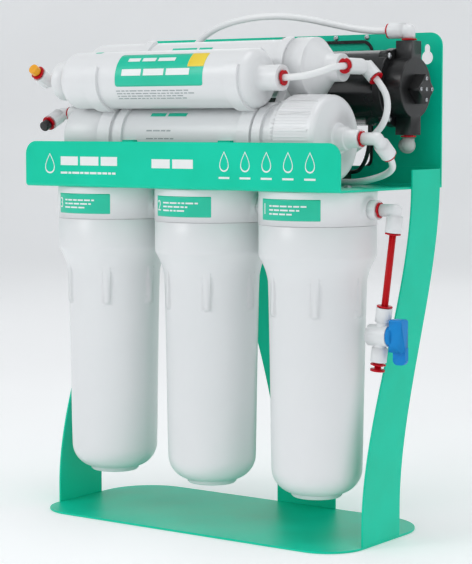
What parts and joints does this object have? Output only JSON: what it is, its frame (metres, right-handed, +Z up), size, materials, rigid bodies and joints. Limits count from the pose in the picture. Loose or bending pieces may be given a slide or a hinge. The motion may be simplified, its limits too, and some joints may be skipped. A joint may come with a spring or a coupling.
{
  "type": "reverse osmosis unit",
  "caption": "Under-sink reverse osmosis water filter: bowl housings hang under a folded steel stand, with membrane, inline filters and booster pump on its shelf.",
  "frame": {"origin": "on the floor, at the centre of the base plate's underside", "axes": "+X along the front of the unit towards the inlet valve, +Y from the front panel to the back plate, +Z up"},
  "size_m": [0.4056, 0.1993, 0.4967],
  "materials": {
    "teal_steel": "powder coat, satin",
    "white_plastic": "moulded, soft gloss",
    "clear_white_plastic": "translucent, moulded",
    "tube_white": "extruded, satin",
    "red_plastic": "moulded",
    "tube_red": "extruded, satin",
    "blue_plastic": "moulded",
    "orange_plastic": "moulded",
    "black_plastic": "moulded, fine texture",
    "black_metal": "black enamel",
    "steel": "zinc plated",
    "rubber_black": "matt",
    "lead_black": "satin cable sheath",
    "cartridge_white": "spun fibre",
    "carbon_black": "carbon block",
    "membrane_wrap": "wound film",
    "magnet_grey": "ferrite",
    "copper_armature": "wound armature"
  },
  "bodies": {
    "frame": {"back_plate": "teal_steel", "base_plate": "teal_steel", "double_clips": "white_plastic", "feed_tube": "tube_white", "filter_media": "carbon_black", "fitting_rings": "red_plastic", "front_filter_shell": "white_plastic", "head_1": "white_plastic", "head_2": "white_plastic", "head_3": "white_plastic", "head_fittings": "white_plastic", "link_tube": "tube_white", "membrane_body": "white_plastic", "membrane_brackets": "teal_steel", "membrane_cap": "white_plastic", "membrane_element": "membrane_wrap", "pressure_switch": "black_plastic", "pump_bearings": "steel", "pump_bracket": "teal_steel", "pump_diaphragm": "rubber_black", "pump_end_cap": "black_plastic", "pump_feet": "rubber_black", "pump_head": "black_plastic", "pump_inlet_elbow": "clear_white_plastic", "pump_lead": "lead_black", "pump_magnets": "magnet_grey", "pump_motor": "black_metal", "pump_outlet_tube": "tube_white", "rear_filter_shell": "white_plastic", "rear_leg": "teal_steel", "rear_tee": "white_plastic", "screws": "steel", "seal_rings": "rubber_black", "shelf_bracket": "teal_steel", "shutoff_valve": "white_plastic", "side_legs": "teal_steel", "stem_elbows": "white_plastic", "tank_tube": "tube_white", "window_trim": "rubber_black"},
    "pump_rotor": {"pump_rotor": "copper_armature"},
    "inlet_chain": {"inlet_elbow": "white_plastic", "inlet_tube": "tube_red", "valve_body": "white_plastic", "chain_rings": "red_plastic"},
    "valve_handle": {"valve_handle": "blue_plastic", "valve_ball": "steel"},
    "valve_outlet_ring": {"valve_outlet_ring": "red_plastic"},
    "red_plug": {"red_plug": "red_plastic"},
    "filter_elbow": {"filter_elbow": "white_plastic"},
    "filter_port_ring": {"filter_port_ring": "red_plastic"},
    "orange_plug": {"orange_plug": "orange_plastic"},
    "reject_elbow": {"reject_elbow": "white_plastic"},
    "reject_port_ring": {"reject_port_ring": "red_plastic"},
    "black_plug": {"black_plug": "black_plastic"},
    "cartridge_1": {"cartridge_1": "cartridge_white"},
    "bowl_1": {"bowl_1": "white_plastic"},
    "cartridge_2": {"cartridge_2": "carbon_black"},
    "bowl_2": {"bowl_2": "white_plastic"},
    "cartridge_3": {"cartridge_3": "carbon_black"},
    "bowl_3": {"bowl_3": "white_plastic"}
  },
  "joints": [
    {"name": "bowl_1_drop", "type": "slide", "parent": "frame", "child": "cartridge_1", "axis": [0, 0, -1], "range_m": [0, 0.01801]},
    {"name": "bowl_1_turn", "type": "hinge", "parent": "cartridge_1", "child": "bowl_1", "pos_m": [0.122, -0.031, 0.15], "axis": [0, 0, 1], "range_deg": [-1080, 0]},
    {"name": "bowl_2_drop", "type": "slide", "parent": "frame", "child": "cartridge_2", "axis": [0, 0, -1], "range_m": [0, 0.01801]},
    {"name": "bowl_2_turn", "type": "hinge", "parent": "cartridge_2", "child": "bowl_2", "pos_m": [0, -0.031, 0.15], "axis": [0, 0, 1], "range_deg": [-1080, 0]},
    {"name": "bowl_3_drop", "type": "slide", "parent": "frame", "child": "cartridge_3", "axis": [0, 0, -1], "range_m": [0, 0.01801]},
    {"name": "bowl_3_turn", "type": "hinge", "parent": "cartridge_3", "child": "bowl_3", "pos_m": [-0.122, -0.031, 0.15], "axis": [0, 0, 1], "range_deg": [-1080, 0]},
    {"name": "inlet_swivel", "type": "hinge", "parent": "frame", "child": "inlet_chain", "pos_m": [0.2055, -0.031, 0.311], "axis": [1, 0, 0], "range_deg": [-90, 3]},
    {"name": "handle_turn", "type": "hinge", "parent": "inlet_chain", "child": "valve_handle", "pos_m": [0.19148, -0.031, 0.19686], "axis": [1, 0, 0], "range_deg": [-90, 0]},
    {"name": "red_plug_pull", "type": "slide", "parent": "inlet_chain", "child": "red_plug", "axis": [-0.1219, 0, -0.9925], "range_m": [0, 0.014]},
    {"name": "valve_ring_press", "type": "slide", "parent": "inlet_chain", "child": "valve_outlet_ring", "axis": [0.1219, 0, 0.9925], "range_m": [0, 0.0015]},
    {"name": "filter_elbow_swivel", "type": "hinge", "parent": "frame", "child": "filter_elbow", "pos_m": [-0.178, -0.066, 0.431], "axis": [1, 0, 0], "range_deg": [-120, 45]},
    {"name": "orange_plug_pull", "type": "slide", "parent": "filter_elbow", "child": "orange_plug", "axis": [0, -0.866, 0.5], "range_m": [0, 0.012]},
    {"name": "filter_ring_press", "type": "slide", "parent": "filter_elbow", "child": "filter_port_ring", "axis": [0, 0.866, -0.5], "range_m": [0, 0.0015]},
    {"name": "reject_elbow_swivel", "type": "hinge", "parent": "frame", "child": "reject_elbow", "pos_m": [-0.171, -0.052, 0.399], "axis": [1, 0, 0], "range_deg": [-20, 60]},
    {"name": "black_plug_pull", "type": "slide", "parent": "reject_elbow", "child": "black_plug", "axis": [0, -0.9061, -0.423], "range_m": [0, 0.012]},
    {"name": "reject_ring_press", "type": "slide", "parent": "reject_elbow", "child": "reject_port_ring", "axis": [0, 0.9061, 0.423], "range_m": [0, 0.0015]},
    {"name": "pump_spin", "type": "hinge", "parent": "frame", "child": "pump_rotor", "pos_m": [0.09, 0.055, 0.423], "axis": [1, 0, 0], "continuous": true}
  ],
  "couplings": [
    {"joint": "bowl_1_drop", "follows": "bowl_1_turn", "m_per_rad": -0.00095493},
    {"joint": "bowl_2_drop", "follows": "bowl_2_turn", "m_per_rad": -0.00095493},
    {"joint": "bowl_3_drop", "follows": "bowl_3_turn", "m_per_rad": -0.00095493}
  ]
}
